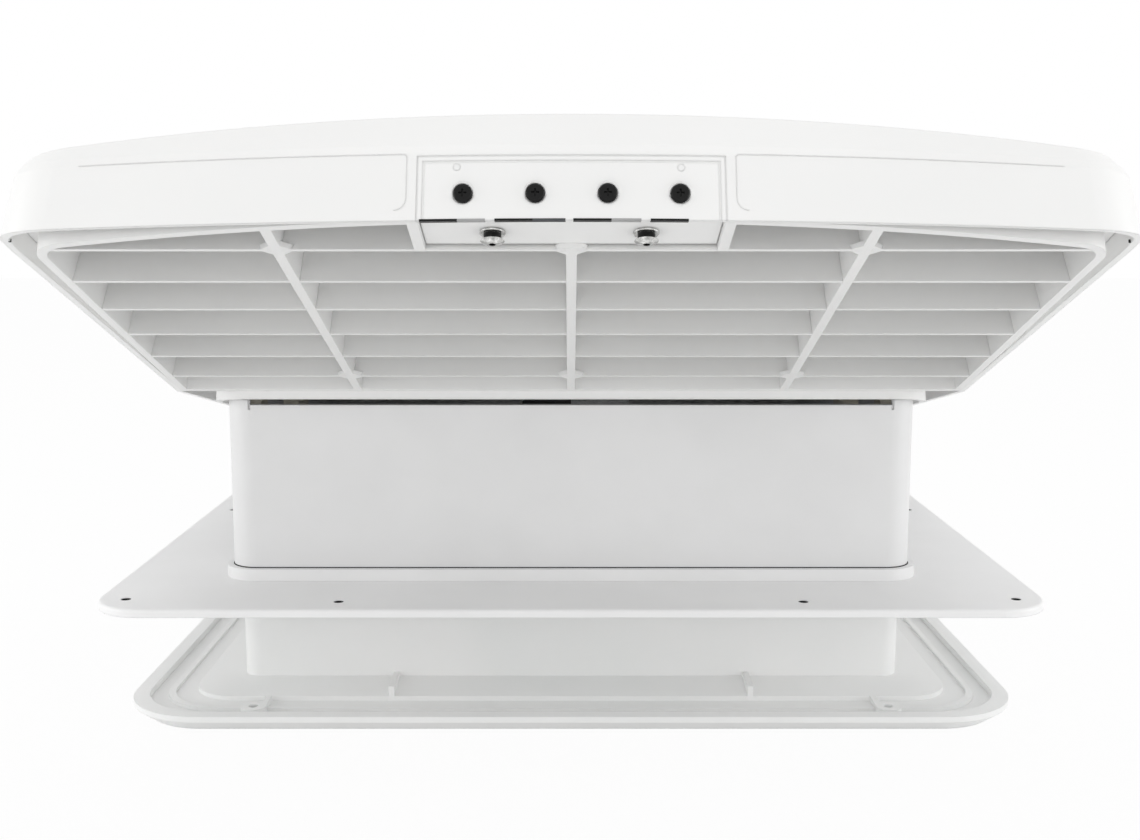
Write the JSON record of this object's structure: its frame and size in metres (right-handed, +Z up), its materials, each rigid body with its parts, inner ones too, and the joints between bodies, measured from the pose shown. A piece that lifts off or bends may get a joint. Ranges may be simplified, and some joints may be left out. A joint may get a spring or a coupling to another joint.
{
  "type": "caravan roof vent",
  "caption": "Square powered roof vent with a tilting rain hood, louvred visor, roof flange, fan, insect screen and ceiling trim, hood open.",
  "frame": {"origin": "centre of the roof flange's screw pattern, on the flange's underside, at the roof's surface", "axes": "+Z up out of the roof, -Y towards the side on which the hood opens, +X to the right seen from there"},
  "size_m": [0.458, 0.6199, 0.2804],
  "materials": {
    "hood_plastic": "moulded, satin gloss",
    "grille_plastic": "moulded, fine satin",
    "housing_plastic": "moulded, fine satin",
    "flange_plastic": "moulded, fine satin",
    "trim_plastic": "moulded, fine grain",
    "deck_plastic": "moulded",
    "fan_plastic": "moulded, satin",
    "mesh_plastic": "woven screen",
    "button_plastic": "moulded, fine grain",
    "window_plastic": "polished",
    "box_plastic": "moulded",
    "board_laminate": "solder mask",
    "black_screw": "black coating",
    "bright_screw": "nickel plated",
    "steel_screw": "zinc plated",
    "shaft_steel": "ground",
    "bracket_steel": "zinc plated sheet",
    "motor_black": "black paint",
    "gearbox_metal": "die cast",
    "gear_plastic": "acetal",
    "seal_rubber": "foam rubber"
  },
  "bodies": {
    "base": {"base_housing": "housing_plastic", "roof_flange": "flange_plastic", "collar_screws": "steel_screw", "ceiling_trim": "trim_plastic", "fan_deck": "deck_plastic", "deck_screws": "steel_screw", "motor_spider": "deck_plastic", "spider_screws": "steel_screw", "fan_motor_can": "motor_black", "fan_motor_cap": "motor_black", "fan_motor_screws": "steel_screw", "screen_frame": "trim_plastic", "insect_screen": "mesh_plastic", "control_panel": "trim_plastic", "control_board": "board_laminate", "display_window": "window_plastic", "junction_box": "box_plastic", "junction_box_lid": "box_plastic", "cable_gland": "box_plastic", "lift_gearbox": "gearbox_metal", "lift_motor_can": "motor_black", "lift_bracket": "bracket_steel", "lift_screws": "steel_screw", "hinge_screws": "steel_screw", "hinge_bracket_left": "bracket_steel", "hinge_bracket_right": "bracket_steel", "hinge_pin_left": "shaft_steel", "hinge_pin_right": "shaft_steel", "shaft_bearing_left": "gear_plastic", "shaft_bearing_right": "gear_plastic"},
    "fan": {"motor_shaft": "shaft_steel", "fan_rotor": "fan_plastic", "fan_nut": "steel_screw"},
    "lift_shaft": {"lift_shaft": "shaft_steel", "lift_pinion_left": "gear_plastic", "lift_pinion_right": "gear_plastic"},
    "hood": {"hood_shell": "hood_plastic", "hood_inner_frame": "grille_plastic", "hood_seal": "seal_rubber", "louvre_grille": "grille_plastic", "grille_slats": "grille_plastic", "grille_screws": "steel_screw", "front_cover": "hood_plastic", "cover_screws": "black_screw", "catch_screws": "bright_screw", "lift_rack_left": "gear_plastic", "lift_rack_right": "gear_plastic"},
    "knob_front_left": {"screen_knob_front_left": "button_plastic"},
    "knob_front_right": {"screen_knob_front_right": "button_plastic"},
    "knob_rear_left": {"screen_knob_rear_left": "button_plastic"},
    "knob_rear_right": {"screen_knob_rear_right": "button_plastic"},
    "button_1": {"control_button_1": "button_plastic"},
    "button_2": {"control_button_2": "button_plastic"},
    "button_3": {"control_button_3": "button_plastic"},
    "button_4": {"control_button_4": "button_plastic"},
    "button_5": {"control_button_5": "button_plastic"}
  },
  "joints": [
    {"name": "hood_tilt", "type": "hinge", "parent": "base", "child": "hood", "pos_m": [0, 0.192, 0.044], "axis": [1, 0, 0], "range_deg": [0, 11.4]},
    {"name": "lift_shaft_spin", "type": "hinge", "parent": "base", "child": "lift_shaft", "pos_m": [0, -0.14, 0.084], "axis": [1, 0, 0], "range_deg": [-413, 0]},
    {"name": "fan_spin", "type": "hinge", "parent": "base", "child": "fan", "pos_m": [0, 0, 0.02], "axis": [0, 0, 1], "continuous": true},
    {"name": "knob_turn_front_left", "type": "hinge", "parent": "base", "child": "knob_front_left", "pos_m": [-0.151, -0.107, -0.057], "axis": [0, 0, 1], "range_deg": [0, 90]},
    {"name": "knob_turn_front_right", "type": "hinge", "parent": "base", "child": "knob_front_right", "pos_m": [0.151, -0.107, -0.057], "axis": [0, 0, 1], "range_deg": [0, 90]},
    {"name": "knob_turn_rear_left", "type": "hinge", "parent": "base", "child": "knob_rear_left", "pos_m": [-0.151, 0.15175, -0.057], "axis": [0, 0, 1], "range_deg": [0, 90]},
    {"name": "knob_turn_rear_right", "type": "hinge", "parent": "base", "child": "knob_rear_right", "pos_m": [0.151, 0.15175, -0.057], "axis": [0, 0, 1], "range_deg": [0, 90]},
    {"name": "button_press_1", "type": "slide", "parent": "base", "child": "button_1", "axis": [0, 0, 1], "range_m": [0, 0.0012], "stiffness_N_per_m": 400},
    {"name": "button_press_2", "type": "slide", "parent": "base", "child": "button_2", "axis": [0, 0, 1], "range_m": [0, 0.0012], "stiffness_N_per_m": 400},
    {"name": "button_press_3", "type": "slide", "parent": "base", "child": "button_3", "axis": [0, 0, 1], "range_m": [0, 0.0012], "stiffness_N_per_m": 400},
    {"name": "button_press_4", "type": "slide", "parent": "base", "child": "button_4", "axis": [0, 0, 1], "range_m": [0, 0.0012], "stiffness_N_per_m": 400},
    {"name": "button_press_5", "type": "slide", "parent": "base", "child": "button_5", "axis": [0, 0, 1], "range_m": [0, 0.0012], "stiffness_N_per_m": 400}
  ],
  "couplings": [
    {"joint": "lift_shaft_spin", "follows": "hood_tilt", "ratio": -36.156}
  ]
}
